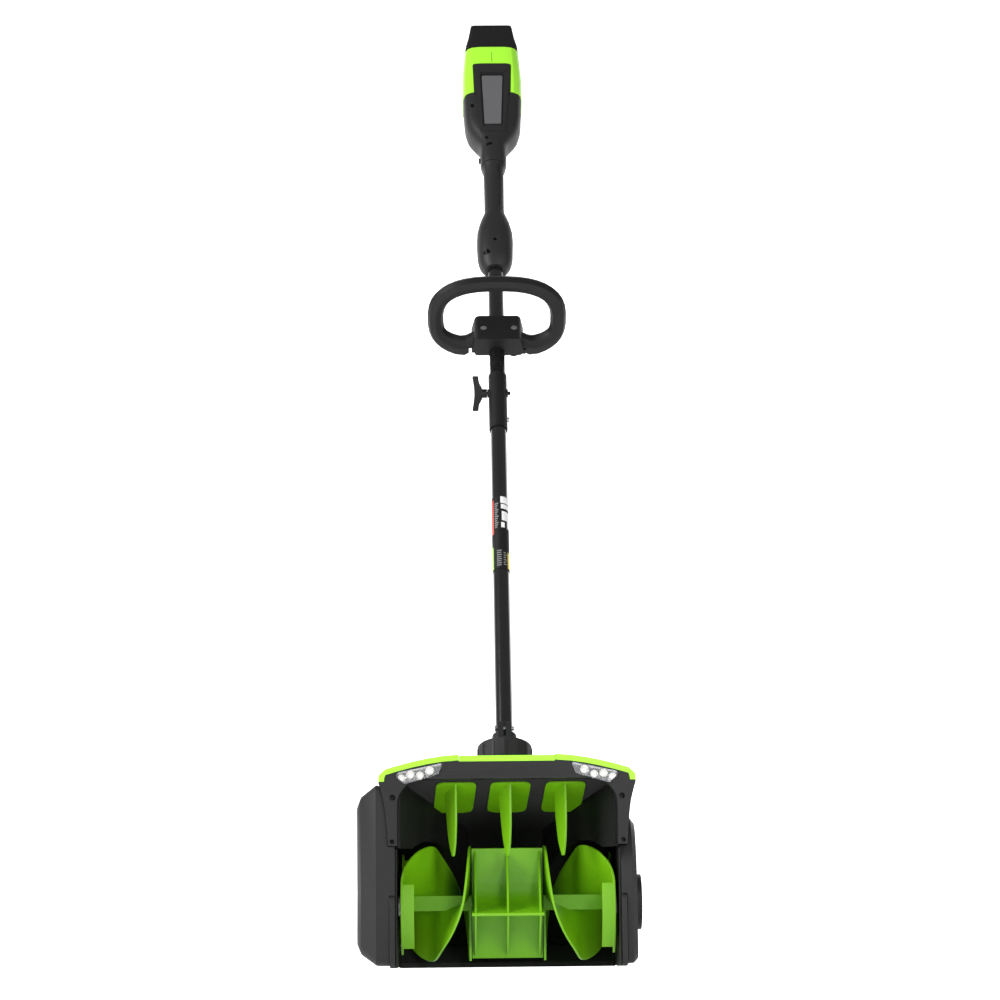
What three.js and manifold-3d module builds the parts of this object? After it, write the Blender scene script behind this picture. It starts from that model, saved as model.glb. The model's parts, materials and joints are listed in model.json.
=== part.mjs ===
// Cordless snow shovel: a battery-powered single-stage snow thrower on a long two-piece shaft.
// Millimetres, +Z up, ground at Z = 0. The head faces -Y, the user stands at +Y.
// The origin is the middle of the scraper bar's wear face.
import * as THREE from 'three';
import { mergeVertices } from 'three/addons/utils/BufferGeometryUtils.js';
import Module from 'manifold-3d';

const wasm = await Module();
wasm.setup();

// ---------------------------------------------------------------- driving dimensions
const GAP = 0.35;                        // clearance left between touching pieces
const FRONT_Y = -155;                    // front plane of the head
const CHAMBER_HALF = 153;                // half the clear width of the snow chamber
const ROTOR = { y: -55, z: 89, radius: 80, half: 149, lean: 13 };
const IMPELLER_HALF = 50;                // half width of the middle paddle block
const TROUGH_R = 87;                     // inside radius of the chamber behind the rotor
const SKIN = 3.5;                        // moulded wall
const ROOF = { frontY: -124.5, frontZ: 257, backY: 32, backZ: 196, backHalf: 53 };
const PLATE_T = 2.5;                     // steel side plates
const PLATE_OUT = CHAMBER_HALF + PLATE_T;
const SKID_T = 7.5;
const COVER = { half: 179.5, topZ: 290, lowZ: 254, lip: 8 };
const BELT_COVER_X = -209;
const BEARING_COVER_X = 178;
const MOTOR = { y: 63, z: 189, radius: 29, from: -138, to: -62 };
const PULLEY = { rotor: 50, motor: 12.5, from: -195, to: -181 };
const SHAFT_ANGLE = 61.8;                // degrees above the ground
const SHAFT_FOOT = [0, 53, 327.4];       // where the tube leaves the shaft socket
const RING_ANGLE = 68;                   // the ribbed ring leans less than the shaft
const TUBE_R = 12.7;
const TUBE_WALL = 1.6;
const SLEEVE = { from: 590, to: 704, radius: 14.8 };
const TUBE_SPLIT = 652;                  // the two tubes meet here inside the sleeve
const LOOP = { at: 778, lean: 75, half: 113.5, middle: 47.8, rise: 79.3 };
const RIM = 1458;                        // open end of the battery housing
const PACK_END = 1522;
const WIRE_AT = [0, -7.3];               // the cable runs beside the cross bolt
const DEG = Math.PI / 180;

// ---------------------------------------------------------------- materials
const finish = (color, roughness, metalness = 0) =>
  new THREE.MeshStandardMaterial({ color, roughness, metalness });
const BLACK = finish(0x1b1b1b, 0.55);
const GRAPHITE = finish(0x2c2c2d, 0.5);
const GREEN = finish(0x86e016, 0.4);
const ROTOR_GREEN = finish(0x6cb010, 0.4);
const TUBE_BLACK = finish(0x161616, 0.3, 0.3);
const STEEL = finish(0x9a9c9e, 0.35, 0.9);
const RUBBER = finish(0x141414, 0.85);
const CLEAR = finish(0xdfe6ea, 0.08);
const MIRROR = finish(0xd8dadb, 0.15, 0.9);
const PANEL = finish(0x58595b, 0.35);
const BOARD = finish(0x1d4a2c, 0.6);

// ---------------------------------------------------------------- geometry helpers
function toSolid(geometry) {
  const bare = geometry.clone();
  for (const name of Object.keys(bare.attributes)) {
    if (name !== 'position') bare.deleteAttribute(name);
  }
  const merged = mergeVertices(bare, 1e-4);
  const vertProperties = new Float32Array(merged.attributes.position.array);
  const triVerts = new Uint32Array(merged.index.array);
  return new wasm.Manifold(new wasm.Mesh({ numProp: 3, vertProperties, triVerts }));
}

function toGeometry(solid) {
  const mesh = solid.getMesh();
  const geometry = new THREE.BufferGeometry();
  const xyz = new Float32Array(mesh.numVert * 3);
  for (let i = 0; i < mesh.numVert; i += 1) {
    for (let k = 0; k < 3; k += 1) xyz[3 * i + k] = mesh.vertProperties[mesh.numProp * i + k];
  }
  geometry.setAttribute('position', new THREE.BufferAttribute(xyz, 3));
  geometry.setIndex(Array.from(mesh.triVerts));
  return geometry;
}

const join = (...pieces) => toGeometry(pieces.map(toSolid).reduce((a, b) => a.add(b)));
const cut = (base, ...tools) => toGeometry(tools.map(toSolid).reduce((a, b) => a.subtract(b), toSolid(base)));
const common = (a, b) => toGeometry(toSolid(a).intersect(toSolid(b)));

// A box between two corners.
function box(low, high) {
  const size = high.map((v, i) => v - low[i]);
  return new THREE.BoxGeometry(...size).translate(...low.map((v, i) => v + size[i] / 2));
}

// A round bar along axis 'x', 'y' or 'z', from one coordinate to another, centred on the other two.
function bar(axis, radius, from, to, centre = [0, 0], segments = 16) {
  const g = new THREE.CylinderGeometry(radius, radius, to - from, segments);
  const mid = (from + to) / 2;
  if (axis === 'x') return g.rotateZ(Math.PI / 2).translate(mid, centre[0], centre[1]);
  if (axis === 'y') return g.translate(centre[0], mid, centre[1]);
  return g.rotateX(Math.PI / 2).translate(centre[0], centre[1], mid);
}

// A pipe along Z.
const pipe = (outer, inner, from, to, segments = 20) =>
  cut(bar('z', outer, from, to, [0, 0], segments), bar('z', inner, from - 1, to + 1, [0, 0], segments));

// A polygon with its corners rounded: each point is [u, v] or [u, v, radius].
function outline(points, radius = 0) {
  const shape = new THREE.Shape();
  points.forEach((point, i) => {
    const before = points[(i + points.length - 1) % points.length];
    const after = points[(i + 1) % points.length];
    const p = new THREE.Vector2(point[0], point[1]);
    const toBefore = new THREE.Vector2(before[0], before[1]).sub(p);
    const toAfter = new THREE.Vector2(after[0], after[1]).sub(p);
    const r = Math.min(point[2] ?? radius, toBefore.length() / 2.02, toAfter.length() / 2.02);
    const a = p.clone().add(toBefore.setLength(r || 1e-9));
    const b = p.clone().add(toAfter.setLength(r || 1e-9));
    if (i === 0) shape.moveTo(a.x, a.y);
    else shape.lineTo(a.x, a.y);
    if (r > 0) shape.quadraticCurveTo(p.x, p.y, b.x, b.y);
  });
  shape.closePath();
  return shape;
}

// A shape drawn in the plane across `axis` and extruded along it: (y, z) for x, (x, z) for y, (x, y) for z.
function prism(axis, shape, from, to, segments = 3) {
  const options = { depth: to - from, bevelEnabled: false, curveSegments: segments };
  const g = new THREE.ExtrudeGeometry(shape, options);
  const basis = new THREE.Matrix4();
  const [x, y, z] = [new THREE.Vector3(1, 0, 0), new THREE.Vector3(0, 1, 0), new THREE.Vector3(0, 0, 1)];
  if (axis === 'x') return g.applyMatrix4(basis.makeBasis(y, z, x)).translate(from, 0, 0);
  if (axis === 'y') return g.applyMatrix4(basis.makeBasis(x, z, y.clone().negate())).translate(0, to, 0);
  return g.translate(0, 0, from);
}

// A closed solid through rings of points, each ring with the same number of points.
function loft(rings) {
  const n = rings[0].length;
  const vertices = rings.flat(2);
  const index = [];
  for (let i = 0; i + 1 < rings.length; i += 1) {
    for (let k = 0; k < n; k += 1) {
      const [a, b] = [i * n + k, i * n + ((k + 1) % n)];
      index.push(a, b, b + n, a, b + n, a + n);
    }
  }
  const last = (rings.length - 1) * n;
  for (let k = 1; k + 1 < n; k += 1) index.push(0, k + 1, k, last, last + k, last + k + 1);
  const g = new THREE.BufferGeometry();
  g.setAttribute('position', new THREE.Float32BufferAttribute(vertices, 3));
  g.setIndex(index);
  if (signedVolume(g) < 0) {
    for (let i = 0; i < index.length; i += 3) [index[i], index[i + 1]] = [index[i + 1], index[i]];
    g.setIndex(index);
  }
  return g;
}

function signedVolume(g) {
  const p = g.attributes.position;
  const [a, b, c] = [new THREE.Vector3(), new THREE.Vector3(), new THREE.Vector3()];
  let sum = 0;
  for (let i = 0; i < g.index.count; i += 3) {
    a.fromBufferAttribute(p, g.index.getX(i));
    b.fromBufferAttribute(p, g.index.getX(i + 1));
    c.fromBufferAttribute(p, g.index.getX(i + 2));
    sum += a.dot(b.cross(c));
  }
  return sum;
}

const mirrorX = (g) => {
  const flipped = g.clone().scale(-1, 1, 1);
  const index = flipped.index ? flipped.index.array : null;
  if (!index) return mirrorX(mergeVertices(bareCopy(g)));
  for (let i = 0; i < index.length; i += 3) [index[i], index[i + 1]] = [index[i + 1], index[i]];
  return flipped;
};

function bareCopy(g) {
  const bare = g.clone();
  for (const name of Object.keys(bare.attributes)) if (name !== 'position') bare.deleteAttribute(name);
  return bare;
}

const root = new THREE.Group();

function piece(name, geometry, material, parent = root) {
  const bare = toGeometry(toSolid(geometry).simplify(0.06));
  bare.computeVertexNormals();
  const mesh = new THREE.Mesh(bare, material);
  mesh.name = name;
  parent.add(mesh);
  return mesh;
}

// ---------------------------------------------------------------- snow chamber
// The funnel above the rotor: wide at the front frame, as narrow as the paddles at the back.
function funnel(grow) {
  const front = ROOF.frontY - 2;
  const back = ROOF.backY + grow;
  const slot = (half, y, low, high) => [[-half, y, low], [half, y, low], [half, y, high], [-half, y, high]];
  return loft([
    slot(150 + grow, front, 120, ROOF.frontZ + grow),
    slot(ROOF.backHalf + grow, back, 80, ROOF.backZ + grow),
  ]);
}

function augerHousing() {
  const axis = [ROTOR.y, ROTOR.z];
  const wide = CHAMBER_HALF - GAP;
  const outer = join(bar('x', TROUGH_R + SKIN, -wide, wide, axis, 48), funnel(SKIN));
  const hollow = bar('x', TROUGH_R, -200, 200, axis, 48);
  const mouth = box([-200, -400, -50], [200, ROTOR.y, 164]);
  const underside = box([-200, -400, -50], [200, -12, 60]);
  const ground = box([-200, -400, -50], [200, 400, 32]);
  const sides = box([-wide, ROOF.frontY, 0], [wide, 200, 300]);
  return common(cut(outer, hollow, funnel(0), mouth, underside, ground), sides);
}
piece('auger_housing', augerHousing(), BLACK);

const PLATE_EDGE = [
  [-146, 1], [-146, 161], [-124, 164], [-124, 236], [-60, 250], [60, 250, 20], [97, 215, 25],
  [104, 150, 30], [92, 70, 30], [50, 14, 20], [16, 1, 10],
];
const plateHole = (radius, at) => bar('x', radius, -400, 400, at, 24);

function sidePlate(side) {
  const [from, to] = side < 0 ? [-PLATE_OUT, -CHAMBER_HALF] : [CHAMBER_HALF, PLATE_OUT];
  const sheet = prism('x', outline(PLATE_EDGE), from, to, 3);
  const rotorHole = plateHole(18, [ROTOR.y, ROTOR.z]);
  return side < 0 ? cut(sheet, rotorHole, plateHole(16, [MOTOR.y, MOTOR.z])) : cut(sheet, rotorHole);
}
piece('side_plate_left', sidePlate(-1), BLACK);
piece('side_plate_right', sidePlate(1), BLACK);

const SKID_EDGE = [[-153, 10, 14], [-153, 96, 20], [-140, 104, 16], [-112, 96, 10], [-100, 40, 20], [10, 26, 14], [14, 0, 4], [-140, 0, 8]];
const skid = (side) => {
  const [near, far] = [PLATE_OUT + GAP, PLATE_OUT + GAP + SKID_T];
  return side < 0 ? prism('x', outline(SKID_EDGE), -far, -near) : prism('x', outline(SKID_EDGE), near, far);
};
piece('skid_left', skid(-1), GRAPHITE);
piece('skid_right', skid(1), GRAPHITE);

const SCRAPER_EDGE = [[-14, 0], [14, 0], [20, 31], [12, 31], [-12, 7]];
piece('scraper_bar', prism('x', outline(SCRAPER_EDGE), -CHAMBER_HALF + GAP, CHAMBER_HALF - GAP), RUBBER);

// ---------------------------------------------------------------- covers
// The arch of the top cover as seen from the front, from the middle panel to the side, `inset` inside it.
function archEdge(inset) {
  const points = [[66, 289 - inset]];
  for (const x of [67, 90, 110, 130, 150, 168]) points.push([x, 290.5 - 9 * ((x - 67) / 63) ** 1.6 - inset]);
  return points;
}

const flip = (points) => points.map(([x, z, r]) => [-x, z, r]).reverse();

function arch(inset) {
  const side = COVER.half - inset;
  const right = [...archEdge(inset), [side - 1.5, COVER.lowZ + 9 - inset * 0.6, 3], [side, -20]];
  return outline([...flip(right), ...right]);
}

// The side view of the covers, drawn `inset` inside the outer surface.
function sideView(inset) {
  return outline([
    [FRONT_Y, -20], [FRONT_Y, 320], [60, 320], [78 - inset / 2, 286 - inset, 18],
    [110 - inset, 252, 30], [119 - inset, 190, 40], [112 - inset, 92, 40], [60 - inset, 18 + inset, 20], [24, 10 + inset], [24, -20],
  ]);
}

function envelope(inset) {
  return common(prism('y', arch(inset), -300, 300, 2), prism('x', sideView(inset), -300, 300, 4));
}

const RING_AXIS = new THREE.Vector3(0, Math.cos(RING_ANGLE * DEG), Math.sin(RING_ANGLE * DEG));
const RING_TOP = new THREE.Vector3(0, 45.7, 314);

// A round bar on the ring's axis, from `from` to `to` along it, measured up from the ring's top face.
function onRing(radius, from, to, segments = 28) {
  const g = bar('z', radius, from, to, [0, 0], segments);
  return g.rotateX(-(90 - RING_ANGLE) * DEG).translate(RING_TOP.x, RING_TOP.y, RING_TOP.z);
}

function topCover() {
  const shell = cut(envelope(0), cut(envelope(3), box([-300, -400, -50], [300, FRONT_Y + 7, 400])), envelope(COVER.lip));
  const above = box([-200, FRONT_Y, COVER.lowZ], [200, 200, 330]);
  return cut(common(shell, above), onRing(42, -120, 60));
}
const SEAM = 66.6;
const cover = topCover();
piece('top_cover_center', common(cover, box([-SEAM, -200, 0], [SEAM, 200, 400])), GREEN);
piece('top_cover_left', common(cover, box([-300, -200, 0], [-SEAM - GAP, 200, 400])), GREEN);
piece('top_cover_right', common(cover, box([SEAM + GAP, -200, 0], [300, 200, 400])), GREEN);

function rearCover() {
  const shell = cut(envelope(0), envelope(3));
  const wide = CHAMBER_HALF - GAP;
  const behind = box([-wide, 24.5, 30], [wide, 200, COVER.lowZ - GAP]);
  const vents = [];
  for (let i = -3; i <= 3; i += 1) {
    vents.push(box([i * 30 - 9, 90, 150], [i * 30 + 9, 130, 156]), box([i * 30 - 9, 90, 166], [i * 30 + 9, 130, 172]));
  }
  return cut(common(shell, behind), ...vents, box([-wide, 20, 0], [wide, 36.5, 70]));
}
piece('rear_cover', rearCover(), BLACK);

const LAMP = [[-153.4, 266], [-88.5, 279.5], [-94.3, 263.6], [-142.6, 249.8], [-153.9, 259.5]];
const LAMP_CENTRE = [-124, 264.5];
const towards = (points, d) => points.map(([x, z]) => {
  const v = new THREE.Vector2(LAMP_CENTRE[0] - x, LAMP_CENTRE[1] - z).setLength(d);
  return [x + v.x, z + v.y, 3];
});

// The dark front frame: a lip under the top cover, two lamp pockets and two posts.
function frontFrame() {
  const edge = [
    ...archEdge(COVER.lip + GAP), [168.4, 258], [169.4, COVER.lowZ - 0.7], [178.4, COVER.lowZ - 0.7], [170.5, 226, 20],
    [166.3, 187, 10], [165, 166],
  ];
  const opening = [[152.4, 100], [152.4, 231, 10], [144, 245, 8], [130, 257.3, 6]];
  const plate = prism('y', outline([...flip(edge), ...edge]), FRONT_Y, ROOF.frontY - GAP);
  const mouth = prism('y', outline([...opening, ...flip(opening)]), -400, 400);
  const pocket = prism('y', outline(towards(LAMP, 0)), -400, FRONT_Y + 17);
  const holes = [
    bar('y', 4.2, -400, FRONT_Y + 8, [-158.5, 232], 12),
    bar('y', 3.4, -400, FRONT_Y + 8, [-159.5, 171.5], 12),
  ];
  return cut(plate, mouth, pocket, mirrorX(pocket), ...holes, ...holes.map(mirrorX));
}
piece('front_frame', frontFrame(), GRAPHITE);

const lens = prism('y', outline(towards(LAMP, GAP + 0.2)), FRONT_Y - 1, FRONT_Y + 2);
const reflector = cut(
  prism('y', outline(towards(LAMP, GAP + 0.4)), FRONT_Y + 2.4, FRONT_Y + 16.5),
  prism('y', outline(towards(LAMP, 2.2)), FRONT_Y + 1, FRONT_Y + 13),
);
piece('lamp_lens_left', lens, CLEAR);
piece('lamp_lens_right', mirrorX(lens), CLEAR);
piece('lamp_reflector_left', reflector, MIRROR);
piece('lamp_reflector_right', mirrorX(reflector), MIRROR);

// A cover whose side outline narrows towards its outer face; `rings` are [x, shrink] pairs.
function dish(edge, rings, centre, segments) {
  const points = outline(edge).getPoints(segments);
  const ring = ([x, shrink]) => points.slice(0, -1).map(({ x: y, y: z }) => {
    const v = new THREE.Vector2(centre[0] - y, centre[1] - z);
    const move = Math.min(shrink / v.length(), 0.9);
    return [x, y + v.x * move, z + v.y * move];
  });
  return loft(rings.map(ring));
}

const BELT_EDGE = [
  [-149, 4, 16], [-151, 100], [-151, 250, 10], [60, 250, 30], [106, 232, 26], [112, 130, 40],
  [84, 30, 40], [20, 3, 20],
];
const skidRoom = (side) => {
  const grown = outline(SKID_EDGE.map(([y, z, r]) => [y + (y > -60 ? GAP : -2), z > 50 ? z + GAP : (z > 20 ? z + GAP : z - 3), r]));
  return side < 0 ? prism('x', grown, -PLATE_OUT - 2 * GAP - SKID_T, 0) : prism('x', grown, 0, PLATE_OUT + 2 * GAP + SKID_T);
};

// The room the front frame's post takes out of a side cover.
function frameRoom(side) {
  const room = [[150, 165], [165.4, 165], [166.7, 187, 10], [170.9, 226, 20], [179.2, 252.9], [179.2, 400], [150, 400]];
  return prism('y', outline(side < 0 ? flip(room) : room), -300, ROOF.frontY);
}

function beltCover() {
  const centre = [-20, 118];
  const near = -PLATE_OUT - GAP;
  const outer = dish(BELT_EDGE, [[near, 0], [-182, 0], [-203, 21], [BELT_COVER_X, 40]], centre, 4);
  const inner = dish(BELT_EDGE, [[near + 1, 3.5], [-180, 3.5], [-200.5, 24.5], [BELT_COVER_X + 3, 43]], centre, 4);
  return cut(outer, inner, skidRoom(-1), frameRoom(-1));
}
piece('belt_cover', beltCover(), GRAPHITE);

const BEARING_EDGE = [
  [-149, 4, 16], [-151, 140, 30], [-116, 204, 30], [40, 210, 30], [98, 190, 26], [106, 110, 40],
  [80, 30, 40], [20, 3, 20],
];

function bearingCover() {
  const centre = [-20, 104];
  const near = PLATE_OUT + GAP;
  const outer = dish(BEARING_EDGE, [[near, 0], [172, 0], [BEARING_COVER_X, 9]], centre, 4);
  const boss = bar('x', 38.5, 172, 188, [ROTOR.y, ROTOR.z], 36);
  const inner = dish(BEARING_EDGE, [[near - 1, 3.5], [169.5, 3.5], [175, 11]], centre, 4);
  const bossRoom = bar('x', 34, near, 184, [ROTOR.y, ROTOR.z], 24);
  return cut(join(outer, boss), inner, bossRoom, skidRoom(1), frameRoom(1));
}
piece('bearing_cover', bearingCover(), GRAPHITE);

// ---------------------------------------------------------------- vanes under the roof
const ROOF_SLOPE = (ROOF.frontZ - ROOF.backZ) / (ROOF.backY - ROOF.frontY);

function vane(x) {
  const pad = outline([[-28, 0, 11], [28, 0, 11], [22, -98, 14], [-34, -98, 14]]);
  const plate = prism('z', pad, -3, 0);
  const padFrame = new THREE.Matrix4().makeBasis(
    new THREE.Vector3(1, 0, 0),
    new THREE.Vector3(0, -1, ROOF_SLOPE).normalize(),
    new THREE.Vector3(0, ROOF_SLOPE, 1).normalize().negate(),
  );
  plate.applyMatrix4(padFrame.clone().multiply(new THREE.Matrix4().makeScale(1, 1, -1)));
  const flipped = mergeVertices(bareCopy(plate));
  if (signedVolume(flipped) < 0) {
    const index = flipped.index.array;
    for (let i = 0; i < index.length; i += 3) [index[i], index[i + 1]] = [index[i + 1], index[i]];
  }
  const fin = outline([
    [2, -1], [2, -62, 12], [5, -88, 14], [10, -103, 3], [14, -103, 3], [24, -84, 12], [31, -50, 10], [36, -13],
  ]);
  const blade = prism('x', fin, -1.6, 1.6);
  const turned = blade.rotateZ(26 * DEG);
  return common(join(flipped, turned).translate(x, ROOF.frontY + 2, ROOF.frontZ - 1.6), funnel(-0.5));
}
const VANE_X = [-70, 6, 83];
['vane_left', 'vane_center', 'vane_right'].forEach((name, i) => piece(name, vane(VANE_X[i]), ROTOR_GREEN));

// ---------------------------------------------------------------- rotor
const atRotor = (g) => g.translate(0, ROTOR.y, ROTOR.z);

// Four blades with hollow fillets between them; a larger `fillet` makes the stiffening webs.
function bladeStar(radius, thickness, fillet) {
  const half = thickness / 2;
  const points = [];
  for (let k = 0; k < 4; k += 1) {
    const turn = (k * 90 + ROTOR.lean) * DEG;
    for (const [u, v, r] of [[radius, -half, 1], [radius, half, 1], [half, half, fillet]]) {
      points.push([u * Math.cos(turn) - v * Math.sin(turn), u * Math.sin(turn) + v * Math.cos(turn), r]);
    }
  }
  return outline(points);
}

const HUB = 10.5;
const rotorBore = () => bar('x', 7 + GAP, -400, 400, [0, 0], 14);

function impeller() {
  const blades = prism('x', bladeStar(ROTOR.radius - 2, 4, 44), -IMPELLER_HALF, IMPELLER_HALF, 6);
  const tips = [0, 1, 2, 3].map((k) => (k * 90 + ROTOR.lean) * DEG);
  const web = outline(tips.map((a) => [(ROTOR.radius - 3.5) * Math.cos(a), (ROTOR.radius - 3.5) * Math.sin(a), 3]));
  const webs = [-45, 0, 45].map((x) => prism('x', web, x - 1.4, x + 1.4));
  return atRotor(cut(join(blades, ...webs), rotorBore()));
}

// How far each flight has turned by the time it reaches a distance from the middle.
const FLIGHT = [
  [52.3, 0], [57, 62], [64, 94], [75, 116], [93, 145], [107, 180], [131, 213], [143, 232], [147, 247], [147, 330],
];
const FLIGHT_T = 3.2;

function flight(start) {
  const rings = [];
  for (let i = 0; i + 1 < FLIGHT.length; i += 1) {
    const [x0, turn0] = FLIGHT[i];
    const [x1, turn1] = FLIGHT[i + 1];
    const steps = Math.ceil((turn1 - turn0) / 16);
    for (let k = 0; k < steps || (k === steps && i + 2 === FLIGHT.length); k += 1) {
      const t = k / steps;
      const turn = (start + turn0 + (turn1 - turn0) * t) * DEG;
      const x = x0 + (x1 - x0) * t;
      const at = (dx, r) => [x + dx, r * Math.cos(turn), r * Math.sin(turn)];
      const half = FLIGHT_T / 2;
      rings.push([at(-half, HUB - 4), at(half, HUB - 4), at(half, ROTOR.radius), at(-half, ROTOR.radius)]);
    }
  }
  return loft(rings);
}

// The short strip that closes the rim behind the end of each flight, bent once in the middle.
function rimStrip(start) {
  const [outer, inner] = [ROTOR.radius - 0.5, ROTOR.radius - 4];
  const arc = (r, turns) => turns.map((a) => [r * Math.cos((start + a) * DEG), r * Math.sin((start + a) * DEG)]);
  const turns = [252, 286, 322];
  return prism('x', outline([...arc(outer, turns), ...arc(inner, turns).reverse()]), 130, ROTOR.half - 1);
}

function auger(side) {
  const starts = [-88, 92];
  const hub = bar('x', 11, IMPELLER_HALF + 0.45, ROTOR.half - 0.1, [0, 0], 8);
  const all = join(hub, ...starts.map(flight), ...[-90, 90].map(rimStrip));
  const turned = cut(all, rotorBore());
  return atRotor(side < 0 ? mirrorX(turned) : turned);
}
piece('impeller', impeller(), ROTOR_GREEN);
piece('auger_left', auger(-1), ROTOR_GREEN);
piece('auger_right', auger(1), ROTOR_GREEN);
piece('rotor_shaft', bar('x', 7, -199, 172, [ROTOR.y, ROTOR.z], 14), STEEL);

function bearing(side) {
  const ring = cut(bar('x', 17.6, 149.6, 163, [0, 0], 20), bar('x', 7 + GAP, 100, 200, [0, 0], 20));
  return atRotor(side < 0 ? mirrorX(ring) : ring);
}
piece('bearing_left', bearing(-1), STEEL);
piece('bearing_right', bearing(1), STEEL);

// ---------------------------------------------------------------- belt drive
const rotorPulley = cut(
  bar('x', PULLEY.rotor, PULLEY.from, PULLEY.to, [ROTOR.y, ROTOR.z], 48),
  bar('x', 7 + GAP, -300, 0, [ROTOR.y, ROTOR.z], 20),
  ...[0, 1, 2, 3, 4].map((k) => {
    const turn = k * 72 * DEG;
    return bar('x', 9, -300, 0, [ROTOR.y + 29 * Math.cos(turn), ROTOR.z + 29 * Math.sin(turn)], 14);
  }),
);
piece('rotor_pulley', rotorPulley, BLACK);
const motorPulley = cut(
  bar('x', PULLEY.motor, PULLEY.from, PULLEY.to, [MOTOR.y, MOTOR.z], 24),
  bar('x', 4 + GAP, -300, 0, [MOTOR.y, MOTOR.z], 16),
);
piece('motor_pulley', motorPulley, STEEL);

// The belt's outline `grow` outside the two pulleys.
function beltOutline(grow) {
  const [dy, dz] = [MOTOR.y - ROTOR.y, MOTOR.z - ROTOR.z];
  const lean = Math.atan2(dz, dy);
  const spread = Math.acos((PULLEY.rotor - PULLEY.motor) / Math.hypot(dy, dz));
  const points = [];
  const arc = (y, z, r, from, to) => {
    for (let k = 0; k <= 16; k += 1) {
      const a = from + ((to - from) * k) / 16;
      points.push([y + r * Math.cos(a), z + r * Math.sin(a)]);
    }
  };
  arc(MOTOR.y, MOTOR.z, PULLEY.motor + grow, lean - spread, lean + spread);
  arc(ROTOR.y, ROTOR.z, PULLEY.rotor + grow, lean + spread, lean - spread + 2 * Math.PI);
  return outline(points);
}
const belt = cut(
  prism('x', beltOutline(GAP + 2.4), PULLEY.from + 1, PULLEY.to - 1),
  prism('x', beltOutline(GAP), -300, 0),
);
piece('drive_belt', belt, RUBBER);

const atMotor = [MOTOR.y, MOTOR.z];
const motorCan = cut(
  bar('x', MOTOR.radius, MOTOR.from, MOTOR.to, atMotor, 36),
  bar('x', MOTOR.radius - 2.5, MOTOR.from + 3, MOTOR.to + 5, atMotor, 36),
  bar('x', 8, -300, 0, atMotor, 16),
);
piece('motor_can', motorCan, STEEL);
const motorRotor = join(
  bar('x', 20, MOTOR.from + 14, MOTOR.to - 10, atMotor, 28),
  bar('x', 4, PULLEY.from - 2, MOTOR.to - 2, atMotor, 16),
);
piece('motor_rotor', motorRotor, STEEL);
const motorMount = cut(
  box([-CHAMBER_HALF + GAP + 0.4, MOTOR.y - 36, MOTOR.z - 36], [MOTOR.from - GAP, MOTOR.y + 30, MOTOR.z + 34]),
  bar('x', 15, -300, 0, atMotor, 24),
);
piece('motor_mount', motorMount, GRAPHITE);

// ---------------------------------------------------------------- shaft
// The shaft's own frame: z runs up the shaft from its foot, -y is its upper side.
const shaft = new THREE.Group();
shaft.position.set(...SHAFT_FOOT);
shaft.rotation.x = -(90 - SHAFT_ANGLE) * DEG;
root.add(shaft);
shaft.updateMatrix();
const inShaft = (g) => g.applyMatrix4(shaft.matrix.clone().invert());
const onShaft = (name, geometry, material) => piece(name, geometry, material, shaft);

function shaftSocket() {
  const ring = cut(onRing(40, -104, 0), onRing(35.5, -120, 10));
  const floor = onRing(36, -18, -6);
  const ribs = [];
  for (let k = 0; k < 14; k += 1) {
    const rib = box([38, -1.6, -60], [40.9, 1.6, -5]).rotateZ(((k + 0.5) * 360 * DEG) / 14);
    ribs.push(rib.rotateX(-(90 - RING_ANGLE) * DEG).translate(RING_TOP.x, RING_TOP.y, RING_TOP.z));
  }
  const hub = bar('z', 18, -108, 6, [0, 0], 20);
  const ears = box([-10, -31, -14], [10, -12, 17]);
  const slot = box([-1.6, -33.5, -12], [1.6, 0, 30]);
  const bolt = bar('x', 3 + GAP, -40, 40, [-23.5, 5], 12);
  const nose = bar('x', 13, -10, 10, [-20, 4], 20);
  const keep = common(ears, join(nose, box([-10, -40, -20], [10, -12, 3])));
  const bore = bar('z', TUBE_R + GAP, -92, 60, [0, 0], 20);
  const wire = bar('z', 6, -200, 60, WIRE_AT, 12);
  const joined = join(...[ring, floor, ...ribs].map(inShaft), hub, keep);
  return cut(joined, slot, bolt, bore, wire);
}
onShaft('shaft_socket', shaftSocket(), GRAPHITE);
onShaft('clamp_bolt', join(bar('x', 3, -14, 14, [-23.5, 5], 12), bar('x', 5, -14, -10.4, [-23.5, 5], 6)), STEEL);

const crossHole = (s, radius) => bar('x', radius, -40, 40, [0, s], 14);
const BOLT_S = 668;
const BUTTON_S = 612;
const lowerTube = cut(pipe(TUBE_R, TUBE_R - TUBE_WALL, -90, TUBE_SPLIT), bar('x', 4.4, 0, 40, [0, BUTTON_S], 14));
onShaft('lower_tube', lowerTube, TUBE_BLACK);
// The upper tube's end is slotted, so that it slides off the coupler past the cross bolt.
const endSlot = box([-40, -3.6, TUBE_SPLIT - 10], [40, 3.6, BOLT_S]);
const upperTube = cut(pipe(TUBE_R, TUBE_R - TUBE_WALL, TUBE_SPLIT + GAP, 1058), endSlot, crossHole(BOLT_S, 3.6));
onShaft('upper_tube', upperTube, TUBE_BLACK);

const LABEL_FROM = 305;
const LABEL_TO = 446;
function tubeLabel() {
  const sleeve = pipe(TUBE_R + GAP + 0.45, TUBE_R + GAP, LABEL_FROM, LABEL_TO);
  return common(sleeve, box([-20, -20, LABEL_FROM - 1], [20, 4, LABEL_TO + 1]));
}
onShaft('shaft_label', tubeLabel(), PANEL);

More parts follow.
